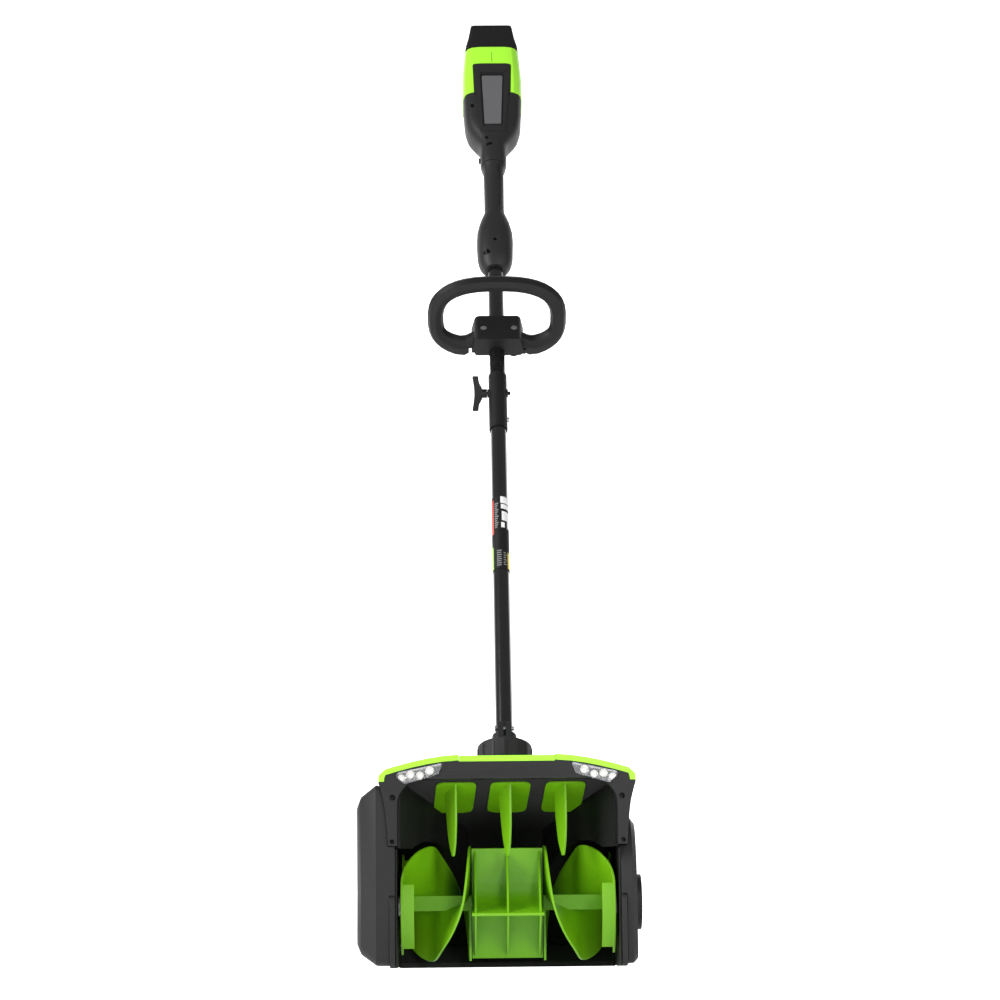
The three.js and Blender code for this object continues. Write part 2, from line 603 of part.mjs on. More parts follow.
function couplerSleeve() {
  const wall = pipe(SLEEVE.radius, TUBE_R + GAP, SLEEVE.from, SLEEVE.to);
  const boss = cut(bar('x', 6.8, -17, 16.4, [0, BOLT_S], 16), bar('z', TUBE_R + GAP, 500, 800));
  const button = bar('x', 4.4, 0, 40, [0, BUTTON_S], 14);
  return cut(join(wall, boss), crossHole(BOLT_S, 3.4), button);
}
onShaft('coupler_sleeve', couplerSleeve(), BLACK);

// The coupler's T-knob: a flat wing on a stem, with the clamping screw through both walls.
function tKnob() {
  const half = [[-38.2, 9, 10], [-41.5, 28, 2], [-31.5, 28, 2], [-30.6, 17, 7], [-24.8, 8, 5]];
  const wing = outline([...half, ...half.slice().reverse().map(([x, t, r]) => [x, -t, r])]);
  const turned = prism('y', wing, -6, 6).rotateX(48 * DEG).translate(0, 0, BOLT_S);
  const stem = bar('x', 7.2, -27, -17.4, [0, BOLT_S], 16);
  const screw = bar('x', 3, -20, 20.5, [0, BOLT_S], 14);
  return join(turned, stem, screw);
}
onShaft('t_knob', tKnob(), BLACK);
onShaft('snap_button', join(bar('x', 4, 8, 18, [0, BUTTON_S], 12), box([7.4, -4.8, BUTTON_S - 5.5], [9.3, 4.8, BUTTON_S + 5.5])), STEEL);

// ---------------------------------------------------------------- loop handle
// A point of the loop's own plane: x across, b up from the tube's axis.
const loopPoint = (x, b) => {
  const lean = LOOP.lean * DEG;
  return new THREE.Vector3(x, -b * Math.sin(lean), LOOP.at + b * Math.cos(lean));
};

// The loop is a squared oval bar, thicker at its two lower lobes.
function hoop() {
  const across = new THREE.Vector3(0, Math.cos(LOOP.lean * DEG), Math.sin(LOOP.lean * DEG));
  const power = 2 / 2.6;
  const oval = (a, inset) => {
    const part = (v) => Math.sign(v) * Math.abs(v) ** power;
    const x = (LOOP.half - inset) * part(Math.cos(a));
    const t = Math.sin(a) < 0 ? Math.min(1, Math.max(0, (62 - Math.abs(x)) / 45)) : 0;
    return [x, LOOP.middle + (LOOP.rise - inset) * part(Math.sin(a)) + 30 * t * t * (3 - 2 * t)];
  };
  const rings = [];
  for (let k = 0; k < 40; k += 1) {
    const a = ((k + 0.5) / 40) * 2 * Math.PI;
    const lobe = Math.min(1, Math.max(0, (-Math.sin(a) - 0.3) / 0.4)) * 9;
    const [outer, inner] = [oval(a, 0), oval(a, 26 + lobe)];
    const [p, q] = [loopPoint(...outer), loopPoint(...inner)];
    const middle = p.clone().add(q).multiplyScalar(0.5);
    const outward = p.clone().sub(q).multiplyScalar(0.5);
    const ring = [];
    for (let j = 0; j < 8; j += 1) {
      const turn = j * 45 * DEG;
      ring.push(middle.clone().addScaledVector(outward, Math.cos(turn)).addScaledVector(across, 13 * Math.sin(turn)).toArray());
    }
    rings.push(ring);
  }
  return closedLoft(rings);
}

function loopHandle() {
  const block = prism('z', outline([[-35, -34, 8], [38, -34, 8], [44, -0.3, 2], [-42, -0.3, 2]]), LOOP.at - 22, LOOP.at + 29);
  const belly = box([-46, -0.3, LOOP.at - 60], [48, 60, LOOP.at + 60]);
  const bore = bar('z', TUBE_R + GAP, LOOP.at - 90, LOOP.at + 90, [0, 0], 20);
  const bolts = LOOP_BOLTS.flatMap((x) => [
    bar('y', 3 + GAP, -60, 60, [x, LOOP_BOLT_S], 12),
    bar('y', 6.4, -60, -28, [x, LOOP_BOLT_S], 6),
  ]);
  return cut(join(hoop(), block), bore, belly, ...bolts);
}

function closedLoft(rings) {
  const n = rings[0].length;
  const index = [];
  rings.forEach((_, i) => {
    const next = ((i + 1) % rings.length) * n;
    for (let k = 0; k < n; k += 1) {
      const k1 = (k + 1) % n;
      index.push(i * n + k, i * n + k1, next + k1, i * n + k, next + k1, next + k);
    }
  });
  const g = new THREE.BufferGeometry();
  g.setAttribute('position', new THREE.Float32BufferAttribute(rings.flat(2), 3));
  g.setIndex(index);
  if (signedVolume(g) < 0) {
    for (let i = 0; i < index.length; i += 3) [index[i], index[i + 1]] = [index[i + 1], index[i]];
    g.setIndex(index);
  }
  return g;
}

const LOOP_BOLTS = [-22, 28];
const LOOP_BOLT_S = LOOP.at + 4;
onShaft('loop_handle', loopHandle(), BLACK);

function loopClamp() {
  const profile = [[-38, GAP, 2], [43, GAP, 2], [42, 18.2, 6], [-36, 18.2, 6]];
  const cap = prism('z', outline(profile), LOOP.at - 12, LOOP.at + 24);
  const bore = bar('z', TUBE_R + GAP, LOOP.at - 90, LOOP.at + 90, [0, 0], 20);
  const bolts = LOOP_BOLTS.map((x) => bar('y', 3 + GAP, -60, 60, [x, LOOP_BOLT_S], 12));
  return cut(cap, bore, ...bolts);
}
onShaft('loop_clamp', loopClamp(), BLACK);

const loopBolt = (x) => join(bar('y', 3, -32, 23, [x, LOOP_BOLT_S], 12), bar('y', 5.8, -32, -28.4, [x, LOOP_BOLT_S], 6));
['loop_bolt_left', 'loop_bolt_right'].forEach((name, i) => onShaft(name, loopBolt(LOOP_BOLTS[i]), STEEL));

function wingKnob() {
  const [x, s] = [LOOP_BOLTS[1], LOOP_BOLT_S];
  const hub = bar('y', 8.5, 18.6, 30, [x, s], 18);
  const wing = join(box([x - 18, 20, s - 3], [x + 18, 30, s + 3]), ...[-18, 18].map((d) => bar('y', 3, 20, 30, [x + d, s], 12)));
  return cut(join(hub, wing), bar('y', 3 + GAP, 0, 26, [x, s], 12));
}
onShaft('wing_knob', wingKnob(), BLACK);

// ---------------------------------------------------------------- grip and power head
const AROUND = 20;

// A rounded-rectangle ring: half width, upper side, under side, corner roundness.
function section([s, half, up, down, round = 0.55]) {
  const ring = [];
  for (let k = 0; k < AROUND; k += 1) {
    const a = (k + 0.5) * (360 / AROUND) * DEG;
    const [c, n] = [Math.cos(a), Math.sin(a)];
    const squash = (v) => Math.sign(v) * Math.abs(v) ** round;
    const y = squash(n);
    ring.push([half * squash(c), (up + down) / 2 + (y * (down - up)) / 2, s]);
  }
  return ring;
}
const hull = (sections) => loft(sections.map(section));

const BULB = [
  [938, 18, -19, 19, 0.9], [946, 24, -24, 25, 0.85], [958, 28, -28, 31, 0.8], [972, 30, -30, 34, 0.75],
  [1000, 31, -31, 36, 0.75], [1022, 30, -30, 35, 0.75], [1040, 26.5, -27, 31, 0.8], [1056, 22, -22, 26, 0.85],
  [1068, 17.8, -19, 22, 0.85],
];

function bulb() {
  const bore = bar('z', TUBE_R + GAP, 900, 1058 + GAP, [0, 0], 20);
  const wire = bar('z', 6, 900, 1100, WIRE_AT, 12);
  const screw = bar('y', 3.4, -60, -24, [0, 985], 12);
  return cut(hull(BULB), bore, wire, screw);
}
onShaft('tube_clamp_housing', bulb(), GRAPHITE);

const TRIGGER_ROOM = box([-8, 4, 1092], [8, 60, 1166]);
function grip() {
  const body = hull([
    [1068 + GAP, 17.4, -18.6, 21.5, 0.85], [1082, 16.8, -17.5, 20.5, 0.85], [1120, 17, -17.5, 21, 0.85],
    [1172, 17.4, -18, 22, 0.85], [1184, 20.5, -21, 25, 0.8],
  ]);
  return cut(body, TRIGGER_ROOM, bar('z', 6, 1000, 1300, WIRE_AT, 12));
}
onShaft('grip', grip(), GRAPHITE);

const BODY = [
  [1184 + GAP, 20.8, -21.5, 25.5, 0.75], [1196, 22.8, -24, 29, 0.7], [1216, 22.8, -25, 31, 0.7],
  [1228, 22.4, -25, 32, 0.65], [1243, 29.5, -26, 36, 0.6], [1258, 38.5, -27, 40, 0.55], [1273, 45, -28, 43, 0.5],
  [1289, 48.4, -29, 45, 0.45], [1304, 50, -30, 47, 0.45], [1340, 51.6, -32, 49, 0.42],
  [1382, 52.2, -33, 50, 0.42], [1413, 51, -33, 50, 0.42], [RIM, 48, -33, 49, 0.42],
];
const shrink = (rings, d) => rings.map(([s, half, up, down, round]) => [s, half - d, up + d, down - d, round]);
const PACK = { half: 37, up: -25, down: 36 };
const BADGE = [[-14.6, 1268, 2.5], [14.6, 1268, 2.5], [18.6, 1384, 4], [-18.6, 1384, 4]];
const BADGE_T = 2.2;

// The lime band: a ring round the open end with a pointed flank on each side.
function bandEnvelope(grow) {
  const rings = BODY.filter(([s]) => s >= 1304).map(([s, half, up, down, round]) => [s, half + 1, up - 1, down + 1, round]);
  const low = 1416 - grow;
  const edge = [[34.5 - grow, low, 5], [32.5 - grow, 1343 - grow, 1.5], [80, 1343 - grow], [80, RIM + 40]];
  return common(hull(rings), prism('y', outline([...flip(edge), ...edge]), -90, 90));
}
const bodyHollow = () => hull([...shrink(BODY, 4).filter(([s]) => s >= 1258 && s < RIM), [RIM + 20, 44, -29, 45, 0.42]]);

function powerHeadBody() {
  const outer = hull(BODY);
  const band = cut(bandEnvelope(GAP), hull(shrink(BODY, 1.6).filter(([s]) => s >= 1289).concat([[RIM + 30, 46.4, -31.4, 47.4, 0.42]])));
  const frame = BADGE.map(([x, z, r]) => [x + Math.sign(x) * 2.4, z + (z > 1300 ? 5 : -4), r]);
  const recess = cut(prism('y', outline(frame), -60, -5), hull(shrink(BODY, BADGE_T + GAP)));
  const wire = bar('z', 6, 1100, 1300, WIRE_AT, 12);
  const buttonRoom = bar('x', 5.4, -60, -8, [4, 1206], 18);
  return cut(outer, bodyHollow(), band, recess, wire, buttonRoom);
}
onShaft('power_head_body', powerHeadBody(), GRAPHITE);
onShaft('green_band', cut(bandEnvelope(0), hull(shrink(BODY, 1.6 - GAP).filter(([s]) => s >= 1289)
  .concat([[RIM + 30, 46.4 + GAP, -31.4 - GAP, 47.4 + GAP, 0.42]]))), GREEN);


const badge = common(prism('y', outline(BADGE), -60, 0), hull(BODY));
onShaft('badge_plate', cut(badge, hull(shrink(BODY, BADGE_T))), PANEL);

// The pack: a block that fills the housing's mouth and a narrower body that slides down inside.
function batteryPack() {
  const cap = hull([
    [RIM + 3, 48, -31.5, 48, 0.26], [RIM + 12, 47, -31.5, 48, 0.22], [RIM + 34, 42, -30, 46, 0.18],
    [PACK_END, 37.5, -28.5, 43.5, 0.14],
  ]);
  const body = hull([[1342, PACK.half, PACK.up, PACK.down, 0.4], [RIM + 6, PACK.half, PACK.up, PACK.down, 0.4]]);
  const rails = [-1, 1].map((d) => box([d > 0 ? 30 : -40.5, 2, 1344], [d > 0 ? 40.5 : -30, 10, RIM + 4]));
  const latch = box([-13, 33.5, RIM + 20], [13, 60, RIM + 50]);
  const contacts = box([-20, 8, 1330], [20, 22, 1356]);
  return cut(join(cap, body, ...rails), latch, contacts);
}
onShaft('battery_pack', batteryPack(), BLACK);
const latchButton = join(
  box([-11.5, 39, RIM + 22], [11.5, 46.5, RIM + 48]),
  bar('x', 2, -11.5, 11.5, [46.6, RIM + 35], 10),
);
onShaft('battery_latch', latchButton, GREEN);

onShaft('terminal_block', join(box([-30, -10, 1318], [30, 30, 1328]), box([-15, 11, 1326], [15, 19, 1352])), BLACK);
onShaft('controller_board', box([-26, -18, 1284], [26, 28, 1300]), BOARD);

// The trigger hangs from a pin at its upper end and swings into the grip.
const TRIGGER_PIN = [12, 1158];
function trigger() {
  const profile = outline([[6, 1164, 5], [17, 1164, 5], [24, 1150, 8], [31, 1118, 8], [30, 1102, 5], [24, 1098, 3], [8, 1140, 8]]);
  return cut(prism('x', profile, -7, 7), bar('x', 2.3, -20, 20, TRIGGER_PIN, 12));
}
onShaft('trigger', trigger(), BLACK);
onShaft('trigger_pin', bar('x', 2, -7.6, 7.6, TRIGGER_PIN, 12), STEEL);
onShaft('lock_off_button', bar('x', 5, -25.4, -10, [4, 1206], 18), BLACK);
onShaft('wire_harness_lower', bar('z', 3.2, -106, 640, WIRE_AT, 8), RUBBER);
onShaft('wire_harness_upper', bar('z', 3.2, 644, 1280, WIRE_AT, 8), RUBBER);

export default root;
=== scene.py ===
"""Looks of the cordless snow shovel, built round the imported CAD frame. Metres, +Z up."""

import json
import math

import bmesh
import bpy
from mathutils import Matrix, Vector
from mathutils.bvhtree import BVHTree


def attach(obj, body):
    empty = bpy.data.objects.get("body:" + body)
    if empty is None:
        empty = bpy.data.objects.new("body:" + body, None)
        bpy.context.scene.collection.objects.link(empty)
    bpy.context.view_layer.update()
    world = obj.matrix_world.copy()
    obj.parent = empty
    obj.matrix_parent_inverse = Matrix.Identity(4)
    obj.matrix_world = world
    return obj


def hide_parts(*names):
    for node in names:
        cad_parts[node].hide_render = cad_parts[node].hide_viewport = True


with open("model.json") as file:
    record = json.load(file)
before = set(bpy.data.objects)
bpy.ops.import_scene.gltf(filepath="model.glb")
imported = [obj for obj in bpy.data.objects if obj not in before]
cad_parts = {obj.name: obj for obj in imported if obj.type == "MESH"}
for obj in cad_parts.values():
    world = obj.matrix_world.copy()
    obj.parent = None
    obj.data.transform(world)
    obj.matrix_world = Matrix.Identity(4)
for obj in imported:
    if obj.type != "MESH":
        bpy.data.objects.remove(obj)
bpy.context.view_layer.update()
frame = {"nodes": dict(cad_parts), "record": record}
NODES = frame["nodes"]
BODY_OF = {n: b for b, names in frame["record"]["behaviour"]["bodies"].items() for n in names}
SLOT_OF = {s["node"]: s["material_slot"] for s in frame["record"]["subparts"]}

MM = 0.001
SHAFT_ANGLE = math.radians(61.8)
SHAFT_FOOT = Vector((0, 0.053, 0.3274))
SHAFT = Matrix.Translation(SHAFT_FOOT) @ Matrix.Rotation(-(math.pi / 2 - SHAFT_ANGLE), 4, "X")
UP = (SHAFT.to_3x3() @ Vector((0, -1, 0))).normalized()


# ---------------------------------------------------------------- materials
def new_material(name):
    material = bpy.data.materials.new(name)
    material.use_nodes = True
    nodes = material.node_tree.nodes
    return material, nodes, material.node_tree.links, nodes["Principled BSDF"]


def noise(nodes, links, scale, detail=3.0, stretch=(1, 1, 1)):
    coords = nodes.new("ShaderNodeTexCoord")
    mapping = nodes.new("ShaderNodeMapping")
    mapping.inputs["Scale"].default_value = stretch
    texture = nodes.new("ShaderNodeTexNoise")
    texture.inputs["Scale"].default_value = scale
    texture.inputs["Detail"].default_value = detail
    links.new(coords.outputs["Object"], mapping.inputs["Vector"])
    links.new(mapping.outputs["Vector"], texture.inputs["Vector"])
    return texture.outputs["Fac"]


def ramp(nodes, links, value, low, high):
    node = nodes.new("ShaderNodeMapRange")
    node.inputs["To Min"].default_value = low
    node.inputs["To Max"].default_value = high
    links.new(value, node.inputs["Value"])
    return node.outputs["Result"]


def tinted(nodes, links, value, dark, light):
    node = nodes.new("ShaderNodeMix")
    node.data_type = "RGBA"
    node.inputs["A"].default_value = (*dark, 1)
    node.inputs["B"].default_value = (*light, 1)
    links.new(value, node.inputs["Factor"])
    return node.outputs["Result"]


def bump(nodes, links, height, shader, strength, distance):
    node = nodes.new("ShaderNodeBump")
    node.inputs["Strength"].default_value = strength
    node.inputs["Distance"].default_value = distance
    links.new(height, node.inputs["Height"])
    links.new(node.outputs["Normal"], shader.inputs["Normal"])


def moulded(name, dark, light, rough, grain=0.12, coat=0.0, spec=0.5):
    """Moulded plastic: a slow drift of tone, uneven roughness and a fine spark-eroded grain."""
    material, nodes, links, shader = new_material(name)
    drift = noise(nodes, links, 9.0)
    links.new(tinted(nodes, links, drift, dark, light), shader.inputs["Base Color"])
    sheen = ramp(nodes, links, noise(nodes, links, 34.0), rough - 0.05, rough + 0.06)
    links.new(sheen, shader.inputs["Roughness"])
    bump(nodes, links, noise(nodes, links, 1500.0, 1.0), shader, grain, 0.0002)
    shader.inputs["Coat Weight"].default_value = coat
    shader.inputs["Coat Roughness"].default_value = 0.12
    shader.inputs["Specular IOR Level"].default_value = spec
    return material


def metal(name, dark, light, rough, stretch=(1, 1, 1), metallic=1.0):
    material, nodes, links, shader = new_material(name)
    streaks = noise(nodes, links, 60.0, 4.0, stretch)
    links.new(tinted(nodes, links, streaks, dark, light), shader.inputs["Base Color"])
    links.new(ramp(nodes, links, streaks, rough - 0.06, rough + 0.1), shader.inputs["Roughness"])
    bump(nodes, links, streaks, shader, 0.05, 0.0002)
    shader.inputs["Metallic"].default_value = metallic
    return material


def gloss_paint(name, dark, light, rough):
    """Powder coat with a faint orange peel."""
    material, nodes, links, shader = new_material(name)
    links.new(tinted(nodes, links, noise(nodes, links, 12.0), dark, light), shader.inputs["Base Color"])
    sheen = ramp(nodes, links, noise(nodes, links, 50.0), rough - 0.04, rough + 0.05)
    links.new(sheen, shader.inputs["Roughness"])
    bump(nodes, links, noise(nodes, links, 420.0, 1.0), shader, 0.06, 0.0002)
    shader.inputs["Coat Weight"].default_value = 0.5
    shader.inputs["Coat Roughness"].default_value = 0.15
    return material


def clear_plastic(name):
    material, nodes, links, shader = new_material(name)
    links.new(tinted(nodes, links, noise(nodes, links, 20.0), (0.93, 0.95, 0.96), (0.99, 0.99, 0.99)),
              shader.inputs["Base Color"])
    links.new(ramp(nodes, links, noise(nodes, links, 60.0), 0.02, 0.07), shader.inputs["Roughness"])
    shader.inputs["Transmission Weight"].default_value = 1.0
    shader.inputs["IOR"].default_value = 1.35
    return material


def glow(name, colour, strength):
    """A lit surface, with a faint drift in its brightness."""
    material, nodes, links, shader = new_material(name)
    drift = ramp(nodes, links, noise(nodes, links, 4.0), strength * 0.98, strength)
    shader.inputs["Base Color"].default_value = (*colour, 1)
    shader.inputs["Emission Color"].default_value = (*colour, 1)
    links.new(drift, shader.inputs["Emission Strength"])
    return material


def grey(low, high):
    """Two neutral tones, darker and lighter."""
    return (low, low, low), (high, high, high)


MATERIALS = {
    "black_plastic": moulded("black_plastic", *grey(0.005, 0.009), 0.5, spec=0.28),
    "graphite_plastic": moulded(
        "graphite_plastic", (0.013, 0.013, 0.0135), (0.019, 0.019, 0.0195), 0.48, spec=0.3),
    "lime_plastic": moulded(
        "lime_plastic", (0.36, 0.86, 0.03), (0.40, 0.93, 0.045), 0.36, grain=0.05, coat=0.25),
    "rotor_plastic": moulded(
        "rotor_plastic", (0.15, 0.41, 0.003), (0.18, 0.47, 0.006), 0.38, grain=0.04, coat=0.2, spec=0.35),
    "black_tube": gloss_paint("black_tube", *grey(0.004, 0.007), 0.2),
    "bright_steel": metal("bright_steel", (0.42, 0.42, 0.43), (0.62, 0.62, 0.63), 0.3, stretch=(1, 9, 1)),
    "rubber": moulded("rubber", *grey(0.008, 0.016), 0.7, grain=0.3, spec=0.3),
    "clear_lens": clear_plastic("clear_lens"),
    "reflector": metal("reflector", (0.72, 0.72, 0.73), (0.86, 0.86, 0.87), 0.16),
    "panel": moulded("panel", (0.095, 0.095, 0.10), (0.12, 0.12, 0.125), 0.4),
    "led": glow("led", (1.0, 0.98, 0.92), 0.75),
    "white_print": moulded("white_print", *grey(0.80, 0.86), 0.4),
    "grey_print": moulded("grey_print", *grey(0.16, 0.24), 0.4),
    "red_print": moulded("red_print", (0.62, 0.09, 0.07), (0.68, 0.11, 0.09), 0.4),
    "green_print": moulded("green_print", (0.30, 0.62, 0.05), (0.34, 0.68, 0.07), 0.4),
    "yellow_print": moulded("yellow_print", (0.82, 0.66, 0.05), (0.86, 0.70, 0.08), 0.4),
    # Near black: dark joints for seams, and painted shade for holes and slots drawn as plugs standing
    # proud rather than real recesses.
    "void": moulded("void", *grey(0.0012, 0.002), 0.8, spec=0.1),
    "circuit": moulded("circuit", (0.01, 0.07, 0.025), (0.02, 0.12, 0.05), 0.4),
}


# ---------------------------------------------------------------- finished pieces
CAD_ANGLE = 32
WELD = 1e-6
FLAT = math.radians(1.0)


def finish_mesh(obj, material_slot, body, angle, soft=0.0):
    """Gives a piece its material, soft edges and smooth shading, and lets it ride on its body."""
    mesh = obj.data
    mesh.materials.clear()
    mesh.materials.append(MATERIALS[material_slot])
    mesh.shade_smooth()
    mesh.set_sharp_from_angle(angle=math.radians(angle))
    if soft:
        bevel = obj.modifiers.new("soft_edges", "BEVEL")
        bevel.width = soft * MM
        bevel.segments = 2
        bevel.limit_method = "ANGLE"
        bevel.angle_limit = math.radians(angle)
        bevel.harden_normals = True
    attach(obj, body)


def refined(node, soft):
    """The finished version of one CAD piece: one welded surface with softened edges."""
    work = bmesh.new()
    work.from_mesh(NODES[node].data)
    bmesh.ops.remove_doubles(work, verts=work.verts, dist=WELD)
    bmesh.ops.dissolve_limit(work, angle_limit=FLAT, verts=work.verts, edges=work.edges)
    mesh = bpy.data.meshes.new(node + "_finished")
    work.to_mesh(mesh)
    work.free()
    obj = bpy.data.objects.new(node + "_finished", mesh)
    bpy.context.scene.collection.objects.link(obj)
    finish_mesh(obj, SLOT_OF[node], BODY_OF[node], CAD_ANGLE, soft)
    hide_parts(node)


# Width of the soft edge of each moulded piece, in millimetres; the others stay sharp.
SOFT = {
    "belt_cover": 2.0, "bearing_cover": 1.6, "front_frame": 1.2, "skid_left": 1.2, "skid_right": 1.2,
    "top_cover_center": 0.8, "top_cover_left": 0.8, "top_cover_right": 0.8, "rear_cover": 1.0,
    "impeller": 0.5, "vane_left": 0.6, "vane_center": 0.6, "vane_right": 0.6,
    "shaft_socket": 0.5, "loop_handle": 1.0, "loop_clamp": 1.0, "wing_knob": 1.2,
    "t_knob": 1.4, "coupler_sleeve": 0.5, "grip": 0.8, "tube_clamp_housing": 0.8, "power_head_body": 1.0,
    "green_band": 0.5, "battery_pack": 0.7, "battery_latch": 1.0, "badge_plate": 0.4, "trigger": 1.4,
    "lock_off_button": 0.8, "scraper_bar": 0.8, "side_plate_left": 0.4, "side_plate_right": 0.4,
}
REBUILT = {"auger_left", "auger_right", "shaft_label"}
for node_name in sorted(set(NODES) - REBUILT):
    refined(node_name, SOFT.get(node_name, 0.0))


# ---------------------------------------------------------------- mesh building
def add_piece(name, points, faces, material, body, angle=40, slot=None):
    """A piece from points in millimetres and faces; its faces are turned outwards."""
    mesh = bpy.data.meshes.new(name)
    mesh.from_pydata([Vector(p) * MM for p in points], [], faces)
    work = bmesh.new()
    work.from_mesh(mesh)
    bmesh.ops.recalc_face_normals(work, faces=work.faces)
    work.to_mesh(mesh)
    work.free()
    obj = bpy.data.objects.new(name, mesh)
    bpy.context.scene.collection.objects.link(obj)
    finish_mesh(obj, material, body, angle)
    return obj


def tube_of_rings(rings, closed=False):
    """Points and faces of a solid through rings of equal length, capped at both ends unless closed."""
    n = len(rings[0])
    points = [p for ring in rings for p in ring]
    faces = []
    for i in range(len(rings) - (0 if closed else 1)):
        a, b = i * n, ((i + 1) % len(rings)) * n
        faces += [(a + k, a + (k + 1) % n, b + (k + 1) % n, b + k) for k in range(n)]
    if not closed:
        faces += [tuple(range(n)), tuple(range(len(points) - n, len(points)))]
    return points, faces


def merged(parts):
    """Several solids as one list of points and one of faces."""
    points, faces = [], []
    for part_points, part_faces in parts:
        base = len(points)
        points += list(part_points)
        faces += [tuple(i + base for i in face) for face in part_faces]
    return points, faces


def on_shaft(x, y, s):
    """A point given in the shaft's own frame, in millimetres."""
    return (SHAFT @ (Vector((x, y, s)) * MM)) / MM


def round_points(count):
    """Cosine and sine of evenly spaced turns round a circle."""
    turns = [2 * math.pi * k / count for k in range(count)]
    return [(math.cos(a), math.sin(a)) for a in turns]


# ---------------------------------------------------------------- augers
ROTOR_Y, ROTOR_Z, ROTOR_R = -55, 89, 80
FLIGHT_HALF = 1.6
FLIGHT_FOOT = 8
FLIGHT_EDGE = 0.5
FLIGHT_STEP = 3.0
FLIGHT_TURN = 330
FLIGHT_END = 147
# Distance from the middle of the rotor, and how far the flight has turned there, in degrees.
FLIGHT = [
    (52.3, 0), (57, 62), (64, 94), (75, 116), (93, 145),
    (107, 180), (131, 213), (143, 232), (FLIGHT_END, 247), (FLIGHT_END, FLIGHT_TURN),
]
RIM_FROM, RIM_TO, RIM_THICK = 130, 148, 4
RIM_TURNS = (252, 286, 322)
HUB_FROM, HUB_TO, HUB_HALF = 50.5, 148.9, 10.4


def round_rotor(x, radius, degrees):
    """A point so far from the middle and from the rotor's axis, turned so many degrees."""
    a = math.radians(degrees)
    return (x, ROTOR_Y + radius * math.cos(a), ROTOR_Z + radius * math.sin(a))


def flight_place(turn):
    """How far from the middle a flight is once it has turned so far, smoothed through the table."""
    xs = [x for x, _ in FLIGHT]
    turns = [t for _, t in FLIGHT]
    i = max(k for k in range(len(turns) - 1) if turns[k] <= turn)
    span = turns[i + 1] - turns[i]
    t = (turn - turns[i]) / span
    slope = [(xs[k + 1] - xs[k]) / (turns[k + 1] - turns[k]) for k in range(len(xs) - 1)]
    before = slope[i] if i == 0 else 0.5 * (slope[i - 1] + slope[i])
    after = slope[i] if i + 1 == len(slope) else 0.5 * (slope[i] + slope[i + 1])
    if i + 1 == len(slope):
        before = 0
    x = (2 * t**3 - 3 * t**2 + 1) * xs[i] + (t**3 - 2 * t**2 + t) * span * before
    x += (3 * t**2 - 2 * t**3) * xs[i + 1] + (t**3 - t**2) * span * after
    return min(x, FLIGHT_END)


def flight_rings(start, side):
    """Cross sections of one flight, from its foot on the hub out to its bevelled rim."""
    half, slim, low, high = FLIGHT_HALF, FLIGHT_HALF - FLIGHT_EDGE, ROTOR_R - FLIGHT_EDGE, ROTOR_R
    foot = [(-half, FLIGHT_FOOT), (half, FLIGHT_FOOT)]
    section = foot + [(half, low), (slim, high), (-slim, high), (-half, low)]
    rings = []
    for k in range(int(FLIGHT_TURN / FLIGHT_STEP) + 1):
        turn = FLIGHT_STEP * k
        x = flight_place(turn)
        rings.append([round_rotor(side * (x + dx), r, start + turn) for dx, r in section])
    return rings


def rim_strip(start, side):
    """The paddle strip that joins the flight's rim at the outer end."""
    outer = [(ROTOR_R - FLIGHT_EDGE, start + t) for t in RIM_TURNS]
    inner = [(ROTOR_R - RIM_THICK, start + t) for t in reversed(RIM_TURNS)]
    return [[round_rotor(side * x, r, t) for r, t in outer + inner] for x in (RIM_FROM, RIM_TO)]


def hub_bar(side):
    corners = [(-HUB_HALF, -HUB_HALF), (HUB_HALF, -HUB_HALF), (HUB_HALF, HUB_HALF), (-HUB_HALF, HUB_HALF)]
    return [[(side * x, ROTOR_Y + y, ROTOR_Z + z) for y, z in corners] for x in (HUB_FROM, HUB_TO)]


def build_auger(name, side):
    parts = [tube_of_rings(flight_rings(start, side)) for start in (-88, 92)]
    parts += [tube_of_rings(rim_strip(start, side)) for start in (-90, 90)]
    parts.append(tube_of_rings(hub_bar(side)))
    obj = add_piece(name + "_finished", *merged(parts), "rotor_plastic", BODY_OF[name], angle=35)
    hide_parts(name)


build_auger("auger_left", -1)
build_auger("auger_right", 1)


# ---------------------------------------------------------------- lamps
# Middle and radius of each light cell of one lamp, from its outer end inwards.
CELLS = [(-146, 258.6, 5.4), (-133.5, 263.2, 6.2), (-120.5, 262.4, 5.6), (-107, 268.6, 6.4)]
CUP_FRONT, CUP_DEPTH, CUP_WALL, CUP_FLOOR = -151.5, 8.0, 0.5, 1.4
CHIP_R, CHIP_FRONT, CHIP_THICK = 2.6, -145.6, 1.2
CUP_STEPS = 6


def cup(x, z, radius):
    """A reflector cup round an axis along Y, open to the front."""
    inside = []
    for k in range(CUP_STEPS + 1):
        t = k / CUP_STEPS
        r = radius * (1 - t) ** 0.5 + CUP_FLOOR * t
        inside.append((CUP_FRONT + CUP_DEPTH * t, max(r, CUP_FLOOR)))
    path = inside + [(y + CUP_WALL, r + CUP_WALL) for y, r in reversed(inside)]
    sections = [[(x + r * c, y, z + r * n) for y, r in path] for c, n in round_points(24)]
    return tube_of_rings(sections, closed=True)


def chip(x, z):
    """The light chip at the bottom of a cup."""
    circle = round_points(20)
    return tube_of_rings([
        [(x + CHIP_R * c, CHIP_FRONT + dy, z + CHIP_R * n) for c, n in circle] for dy in (0, CHIP_THICK)
    ])


def build_lamp(name, side):
    cups = [cup(side * -x, z, radius) for x, z, radius in CELLS]
    add_piece("lamp_cups_" + name, *merged(cups), "reflector", "head")
    chips = [chip(side * -x, z) for x, z, _ in CELLS]
    add_piece("lamp_chips_" + name, *merged(chips), "led", "head", slot="clear_lens")


build_lamp("left", -1)
build_lamp("right", 1)


